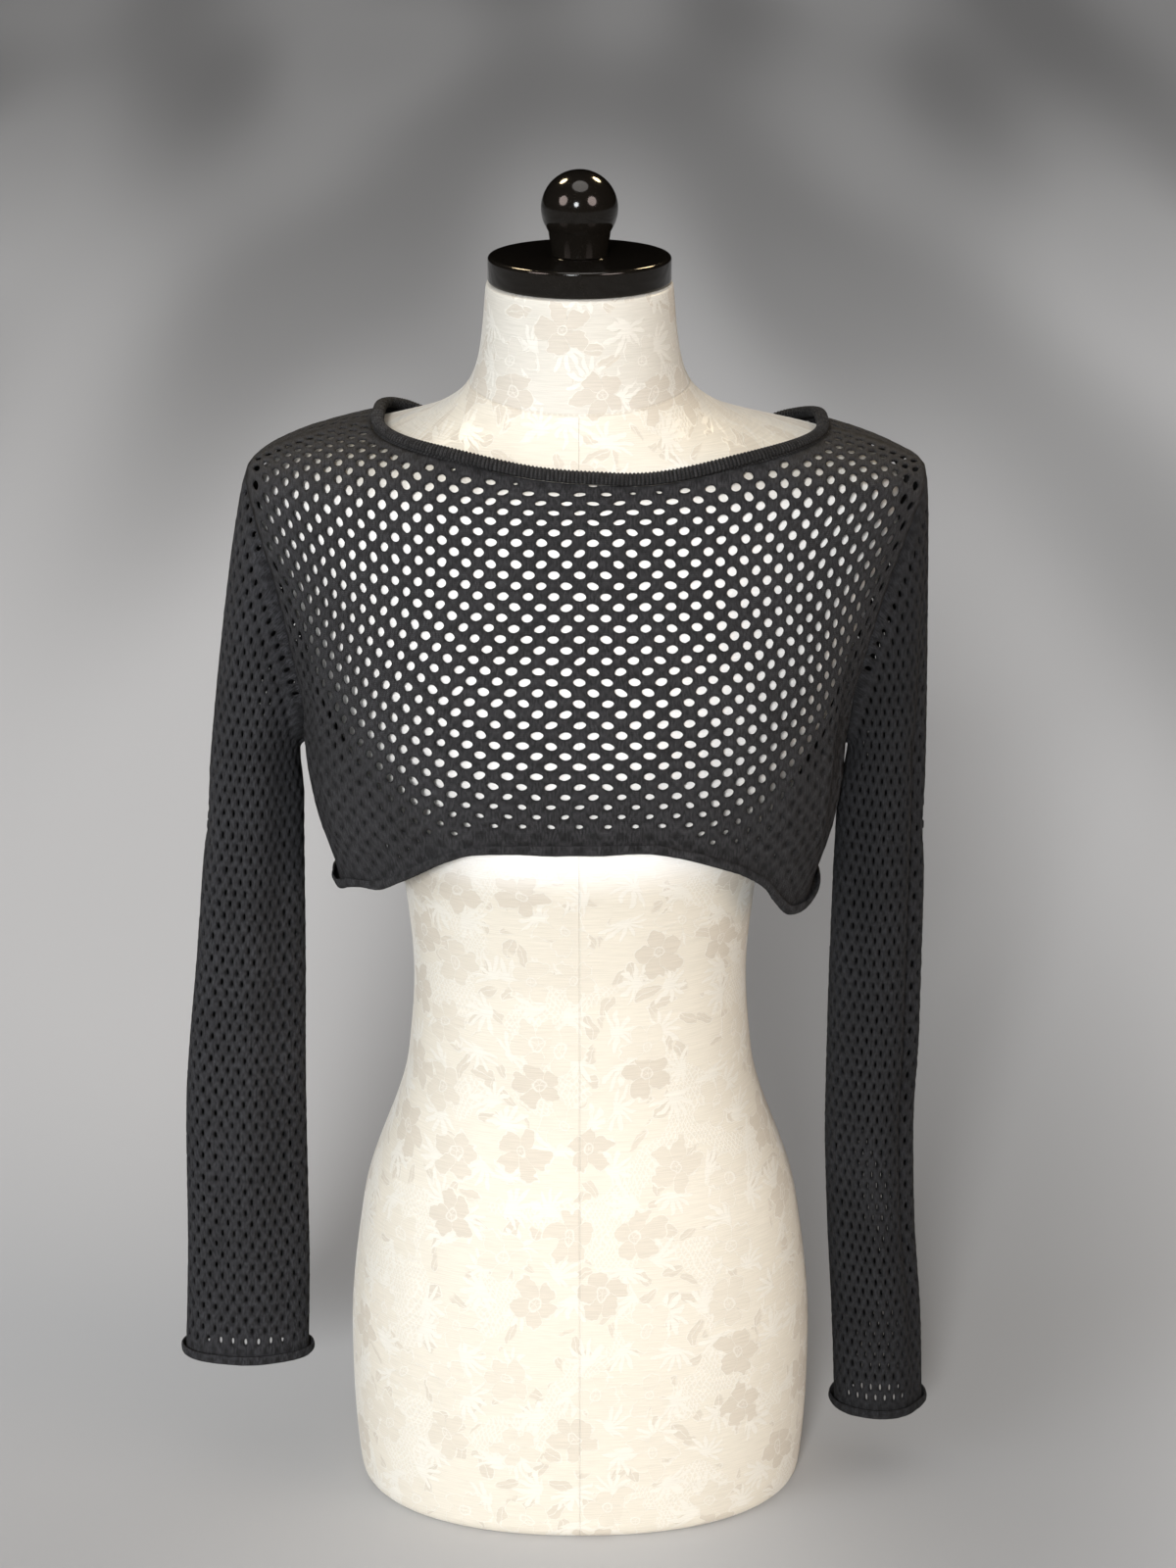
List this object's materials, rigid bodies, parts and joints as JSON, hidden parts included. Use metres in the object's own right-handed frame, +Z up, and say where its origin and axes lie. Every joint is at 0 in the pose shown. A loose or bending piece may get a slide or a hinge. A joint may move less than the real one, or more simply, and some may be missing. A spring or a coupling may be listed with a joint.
{
  "type": "knit crop top on a limbless dress form",
  "caption": "Charcoal eyelet-knit crop top with long empty sleeves, wide rolled neckline and rolled hem, on a limbless cream dress form with a black neck cap and ball finial.",
  "frame": {"origin": "middle of the dress form's flat underside", "axes": "+Z up along the form's axis, -Y the front of the garment, +X the side that a viewer in front sees on the right"},
  "size_m": [0.4922, 0.2439, 0.8461],
  "materials": {
    "knit": "matt charcoal cotton knit",
    "jacquard": "cream tone-on-tone floral jacquard, satin and matt",
    "lacquer": "high-gloss black lacquer"
  },
  "bodies": {
    "root": {"front": "knit", "back": "knit", "sleeve_left": "knit", "sleeve_right": "knit", "neckband": "knit", "form_torso": "jacquard", "neck_cap": "lacquer", "finial": "lacquer"}
  },
  "joints": []
}
